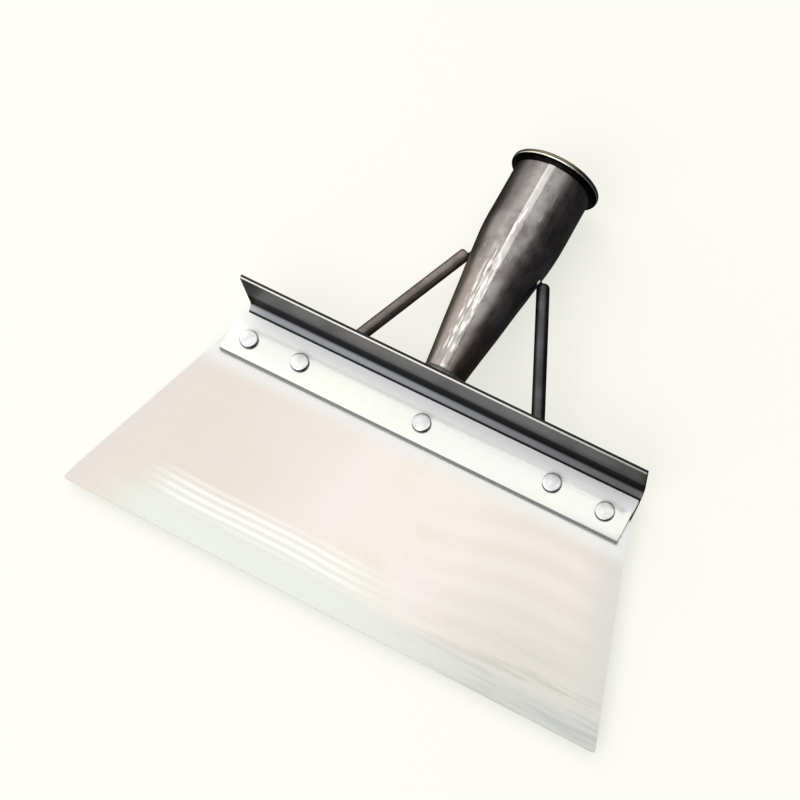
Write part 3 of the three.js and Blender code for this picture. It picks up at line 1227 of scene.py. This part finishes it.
    def keep_outside(self, vert: bmesh.types.BMVert, clearance: float) -> None:
        """Moves a vertex that lies inside the socket out to its surface."""
        away = Vector((vert.co.x, 0, vert.co.z - self.base.z))
        wanted = self.outside(vert.co.y - self.base.y) + clearance
        if away.length < wanted:
            away.length = wanted
            vert.co.x = away.x
            vert.co.z = self.base.z + away.z

    def brace(
        self,
        label: str,
        side: int,
        foot_x: float,
        head: tuple[float, float],
        rounding: float,
        bar: SteelFinish,
    ) -> None:
        """Cuts one brace from bar, scribes it to the socket and welds both its ends.

        Args:
            label: which brace it is.
            side: -1 on the left and 1 on the right.
            foot_x: where its middle meets the flange.
            head: where its end meets the socket, in x and in the distance from the flange.
            rounding: how far its end is rounded over.
            bar: the bar's finish.
        """
        flange = self.base.y
        foot = Vector((foot_x, flange, self.base.z))
        tip = Vector((head[0], flange + head[1], self.base.z))
        run = (tip - foot).normalized()
        turn = Vector((0, 0, 1)).rotation_difference(run).to_matrix().to_4x4()
        start = foot - run * 6 * MM
        bm = bmesh.new()
        bmesh.ops.create_cone(
            bm,
            cap_ends=True,
            segments=40,
            radius1=self.bar_radius,
            radius2=self.bar_radius,
            depth=(tip - start).length,
            matrix=Matrix.Translation((start + tip) / 2) @ turn,
        )
        caps = [edge for edge in bm.edges if abs((middle(edge) - tip).dot(run)) < HAIR]
        bmesh.ops.bevel(
            bm, geom=caps, offset=rounding, offset_type="OFFSET", segments=6, profile=0.5,
            affect="EDGES", material=-1, clamp_overlap=True,
        )
        long_edges = [edge for edge in bm.edges if edge.calc_length() > 20 * MM]
        bmesh.ops.subdivide_edges(bm, edges=long_edges, cuts=48, use_grid_fill=True)
        bmesh.ops.bisect_plane(
            bm,
            geom=bm.verts[:] + bm.edges[:] + bm.faces[:],
            dist=HAIR / 10,
            plane_co=foot + Vector((0, self.gap, 0)),
            plane_no=(0, -1, 0),
            clear_outer=True,
        )
        bmesh.ops.holes_fill(bm, edges=[edge for edge in bm.edges if edge.is_boundary], sides=0)
        for vert in bm.verts:
            self.keep_outside(vert, self.gap)
        finish_piece(bm, f"{label}_brace_bar", bar.make(), f"{label}_brace")
        self.foot_bead(label, foot, run)
        self.head_bead(label, side, tip, run)

    def foot_bead(self, label: str, foot: Vector, run: Vector) -> None:
        """Lays the bead around a brace's foot.

        Args:
            label: which brace it is.
            foot: where the brace's middle meets the flange.
            run: the way the brace runs.
        """
        bm = bmesh.new()
        across = run.cross(Vector((0, 0, 1))).normalized()
        centre = foot + across * (self.bar_radius + self.gap + 0.55 * MM)
        turn = Vector((0, 0, 1)).rotation_difference(run.cross(across)).to_matrix().to_4x4()
        ring = bmesh.ops.create_circle(
            bm, cap_ends=False, radius=0.95 * MM, segments=16, matrix=Matrix.Translation(centre) @ turn
        )
        edges = list({edge for vert in ring["verts"] for edge in vert.link_edges})
        bmesh.ops.spin(
            bm, geom=ring["verts"] + edges, cent=foot, axis=run, angle=math.tau, steps=64, use_merge=True
        )
        for vert in bm.verts:
            vert.co += (vert.co - foot).normalized() * 0.16 * MM * noise.noise(vert.co / (1.3 * MM))
            vert.co.y = max(vert.co.y, foot.y + self.stand_off)
        bmesh.ops.remove_doubles(bm, verts=bm.verts[:], dist=HAIR)
        finish_piece(bm, f"{label}_foot_bead", self.weld, f"{label}_brace_foot_weld")

    def head_bead(self, label: str, side: int, tip: Vector, run: Vector) -> None:
        """Lays the bead in the notch between a brace's end and the socket.

        Args:
            label: which brace it is.
            side: -1 on the left and 1 on the right.
            tip: the end of the brace.
            run: the way the brace runs.
        """
        bm = bmesh.new()
        centre = tip + Vector((-side * 1.7, -0.6, 0.7 + 0.5 * side)) * MM
        bmesh.ops.create_icosphere(bm, subdivisions=4, radius=1.5 * MM, matrix=Matrix.Translation(centre))
        for vert in bm.verts:
            vert.co += (vert.co - centre).normalized() * 0.3 * MM * noise.noise(vert.co / (1.2 * MM))
            ahead = (vert.co - tip).dot(run)
            beside = (vert.co - tip) - run * ahead
            if ahead < self.gap and beside.length < self.bar_radius + self.gap:
                vert.co += run * (self.gap - ahead)
            self.keep_outside(vert, self.gap)
        finish_piece(bm, f"{label}_head_bead", self.weld, f"{label}_brace_head_weld")

    def build(self) -> None:
        """Builds the socket, its seam and ring, the braces and the welds."""
        self.weld = WELD_BEAD.make()
        self.tube()
        self.seam_bead()
        self.mouth()
        inner = self.radius + self.gap
        self.fillet(
            "mouth_fillet",
            "mouth_ring_weld",
            [
                (inner, self.length - 1.3 * MM),
                (inner + 0.35 * MM, self.length - 0.95 * MM),
                (inner + 0.7 * MM, self.length - 0.5 * MM),
                (inner + 1.15 * MM, self.length - self.stand_off),
                (inner, self.length - self.stand_off),
            ],
            0.08 * MM,
            SHADE_BLACK_BEAD,
        )
        narrow = self.base_radius + self.gap
        self.fillet(
            "base_fillet",
            "socket_base_weld",
            [
                (narrow, self.stand_off),
                (narrow + 2.2 * MM, self.stand_off),
                (narrow + 2.0 * MM, 0.8 * MM),
                (narrow + 1.45 * MM, 1.6 * MM),
                (narrow + 0.85 * MM, 2.25 * MM),
                (self.outside(2.6 * MM) + self.gap, 2.6 * MM),
            ],
            0.22 * MM,
            WELD_BEAD,
        )
        self.brace("left", -1, -34.6 * MM, (-14.9 * MM, 48.2 * MM), 0.9 * MM, ROUND_BAR)
        # The right brace takes the darker copy of the bar, which is painted shade.
        self.brace("right", 1, 38.3 * MM, (15.2 * MM, 49.6 * MM), 1.7 * MM, SHADED_BAR)


# --- Studio --------------------------------------------------------------------------------------


@dataclass
class SoftBox:
    """A large soft light that lies in one direction from the scraper and faces it."""

    name: str
    towards: tuple[float, float, float]
    distance: float
    size: tuple[float, float]
    brightness: float
    tint: str = "#ffffff"

    def hang(self) -> None:
        """Hangs the light; its brightness is what a mirror would show, with 1 as white."""
        lamp = bpy.data.lights.new(self.name, "AREA")
        lamp.shape = "RECTANGLE"
        lamp.size, lamp.size_y = self.size
        lamp.color = linear(self.tint)[:3]
        lamp.energy = self.brightness * math.pi * self.size[0] * self.size[1]
        piece = bpy.data.objects.new(self.name, lamp)
        direction = Vector(self.towards).normalized()
        piece.location = direction * self.distance
        piece.rotation_euler = direction.to_track_quat("Z", "Y").to_euler()
        bpy.context.scene.collection.objects.link(piece)


@dataclass
class Studio:
    """A pale floor, soft lights and the camera."""

    lens_mm: float = 83.416
    camera_place: Vector = field(default_factory=lambda: Vector((136.452, -203.830, 618.817)) * MM)
    camera_target: Vector = field(default_factory=lambda: Vector((-12.0335, -9.1367, 5.4)) * MM)
    camera_roll: float = math.radians(-29.97)
    lights: list[SoftBox] = field(
        default_factory=lambda: [
            SoftBox("overhead", (-0.15, 0.35, 0.92), 1.6, (2.6, 2.2), 1.24, "#fffefc"),
            SoftBox("left", (-0.9, 0.2, 0.42), 1.6, (2.0, 1.6), 1.15, "#fffaf6"),
            SoftBox("front", (-0.2, -0.88, 0.42), 1.8, (2.4, 1.1), 1.0, "#ffffff"),
            SoftBox("fill", (-0.1, -0.60, 0.79), 1.6, (1.6, 0.9), 2.6, "#ffffff"),
        ]
    )

    def floor(self) -> None:
        """Lays the pale floor, an opal sheet lit from below."""
        bm = bmesh.new()
        bmesh.ops.create_grid(bm, x_segments=1, y_segments=1, size=4.0)
        mesh = bpy.data.meshes.new("opal_floor")
        bm.to_mesh(mesh)
        bm.free()
        material = bpy.data.materials.new("opal_acrylic_floor")
        material.use_nodes = True
        tree = material.node_tree
        tree.nodes.clear()
        glow = add_node(
            tree,
            "ShaderNodeBsdfPrincipled",
            inputs={
                "Base Color": linear("#8c8c86"),
                "Roughness": 0.9,
                "Emission Color": linear("#fffff8"),
                "Emission Strength": 0.705,
            },
        )
        add_node(tree, "ShaderNodeOutputMaterial", inputs={"Surface": glow.outputs["BSDF"]})
        mesh.materials.append(material)
        floor = bpy.data.objects.new("opal_floor", mesh)
        floor.visible_glossy = False
        bpy.context.scene.collection.objects.link(floor)

    def surroundings(self) -> None:
        """Makes the room behind the lights a dim grey."""
        world = bpy.data.worlds.new("studio")
        world.use_nodes = True
        tree = world.node_tree
        tree.nodes.clear()
        room = add_node(tree, "ShaderNodeBackground", inputs={"Color": linear("#ffffff"), "Strength": 0.05})
        add_node(tree, "ShaderNodeOutputWorld", inputs={"Surface": room.outputs["Background"]})
        bpy.context.scene.world = world
        bpy.context.scene.view_settings.view_transform = "Standard"

    def camera(self) -> None:
        """Sets up the camera."""
        lens = bpy.data.cameras.new("camera")
        lens.lens = self.lens_mm
        lens.clip_start = 0.01
        ahead = (self.camera_target - self.camera_place).normalized()
        level = (Vector((0, 1, 0)) - ahead * ahead.y).normalized()
        aside = ahead.cross(level)
        up = level * math.cos(self.camera_roll) + aside * math.sin(self.camera_roll)
        right = ahead.cross(up)
        camera = bpy.data.objects.new("camera", lens)
        turn = Matrix((right, up, -ahead)).transposed().to_4x4()
        camera.matrix_world = Matrix.Translation(self.camera_place) @ turn
        bpy.context.scene.collection.objects.link(camera)
        bpy.context.scene.camera = camera

    def build(self) -> None:
        """Sets up the floor, the room, the lights and the camera."""
        self.floor()
        self.surroundings()
        for light in self.lights:
            light.hang()
        self.camera()


def main() -> None:
    """Builds the scraper and its studio."""
    logging.basicConfig(level=logging.INFO, format="%(message)s")
    Stack().build()
    HandleSocket().build()
    Studio().build()
    bpy.context.view_layer.update()


if __name__ == "__main__":
    main()
